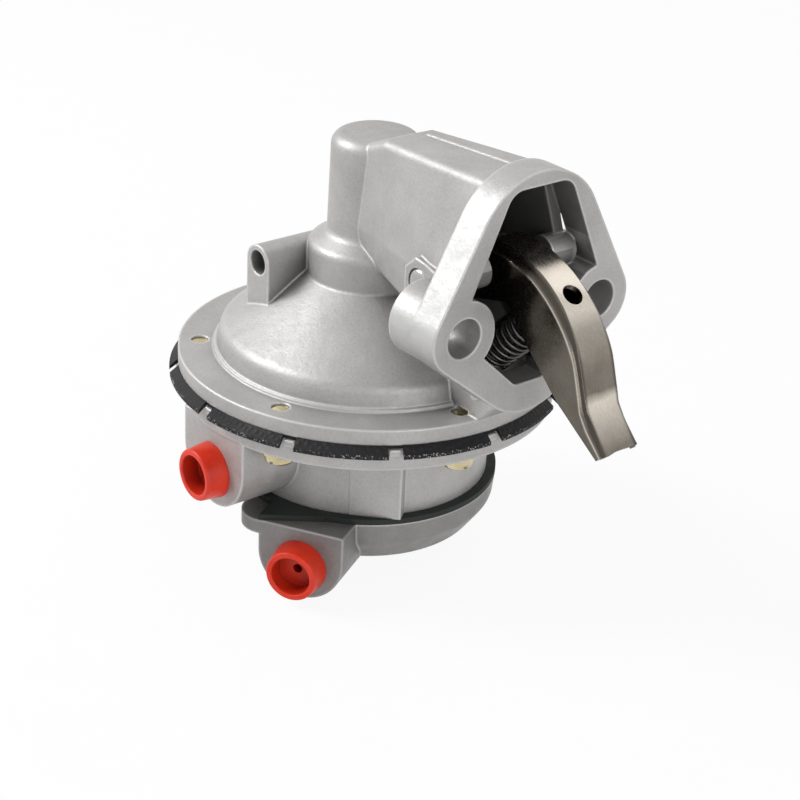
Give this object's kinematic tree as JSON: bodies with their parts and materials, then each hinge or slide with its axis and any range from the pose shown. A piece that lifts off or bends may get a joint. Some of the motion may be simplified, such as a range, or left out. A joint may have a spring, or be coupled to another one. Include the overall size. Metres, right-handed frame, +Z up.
{
  "type": "mechanical fuel pump",
  "caption": "Mechanical diaphragm fuel pump worked by a rocker arm, with a bolted mounting flange, check valves and capped inlet and outlet ports.",
  "frame": {"origin": "in the mounting face, midway between the two bolt holes", "axes": "+X out of the mounting face towards the engine, along the rocker arm; +Z up along the pull rod, from the ports to the rocker box; +Y sideways along the line of the bolts"},
  "size_m": [0.153, 0.1115, 0.1273],
  "materials": {
    "housing_casting": "as cast, fine grain, with a milled mounting face",
    "valve_body_casting": "as cast, fine grain",
    "cover_casting": "as cast, fine grain",
    "diaphragm_rubber": "fabric reinforced, matt",
    "pulsator_rubber": "matt",
    "seal_rubber": "matt",
    "valve_rubber": "matt",
    "plate_steel": "stamped sheet",
    "rod_steel": "turned",
    "link_steel": "forged and oiled",
    "arm_steel": "polished and hardened",
    "pin_steel": "ground",
    "spring_steel": "drawn wire",
    "valve_spring_steel": "drawn wire",
    "zinc_steel": "yellow zinc plated",
    "bolt_steel": "zinc plated",
    "washer_copper": "soft sealing washer",
    "valve_brass": "stamped",
    "plug_plastic": "moulded"
  },
  "bodies": {
    "housing": {"upper_housing": "housing_casting", "valve_body": "valve_body_casting", "bottom_cover": "cover_casting", "diaphragm": "diaphragm_rubber", "main_spring": "spring_steel", "rod_seal": "seal_rubber", "seal_retainer": "plate_steel", "pivot_pin": "pin_steel", "return_spring": "spring_steel", "rim_screws": "zinc_steel", "rim_washers": "zinc_steel", "cover_bolt": "bolt_steel", "cover_bolt_washer": "washer_copper", "pulsator_diaphragm": "pulsator_rubber", "outlet_valve_seat": "valve_brass", "outlet_valve_spring": "valve_spring_steel", "outlet_valve_cage": "valve_brass", "inlet_valve_seat": "valve_brass", "inlet_valve_spring": "valve_spring_steel", "inlet_valve_cage": "valve_brass", "outlet_plug": "plug_plastic", "inlet_plug": "plug_plastic"},
    "rocker": {"rocker_arm": "arm_steel"},
    "link": {"link_lever": "link_steel"},
    "plunger": {"pull_rod": "rod_steel", "rod_nut": "rod_steel", "upper_plate": "plate_steel", "lower_plate": "plate_steel"},
    "outlet_disc": {"outlet_valve_disc": "valve_rubber"},
    "inlet_disc": {"inlet_valve_disc": "valve_rubber"}
  },
  "joints": [
    {"name": "arm_hinge", "type": "hinge", "parent": "housing", "child": "rocker", "pos_m": [-0.0245, 0, 0.0046], "axis": [0, 1, 0], "range_deg": [0, 8], "stiffness_Nm_per_rad": 0.6, "springref_deg": -20.05, "deforming": ["return_spring"]},
    {"name": "link_hinge", "type": "hinge", "parent": "housing", "child": "link", "pos_m": [-0.0245, 0, 0.0046], "axis": [0, 1, 0], "range_deg": [0, 8]},
    {"name": "diaphragm_slide", "type": "slide", "parent": "housing", "child": "plunger", "axis": [0, 0, 1], "range_m": [0, 0.006], "stiffness_N_per_m": 60, "springref_m": -0.006, "deforming": ["main_spring", "diaphragm"]},
    {"name": "outlet_valve_slide", "type": "slide", "parent": "housing", "child": "outlet_disc", "axis": [0, 0, -1], "range_m": [0, 0.0014], "stiffness_N_per_m": 20, "springref_m": -0.002, "deforming": ["outlet_valve_spring"]},
    {"name": "inlet_valve_slide", "type": "slide", "parent": "housing", "child": "inlet_disc", "axis": [0, 0, 1], "range_m": [0, 0.0014], "stiffness_N_per_m": 20, "springref_m": -0.002, "deforming": ["inlet_valve_spring"]}
  ],
  "couplings": [
    {"joint": "link_hinge", "follows": "arm_hinge", "ratio": 1},
    {"joint": "diaphragm_slide", "follows": "arm_hinge", "m_per_rad": 0.04}
  ]
}
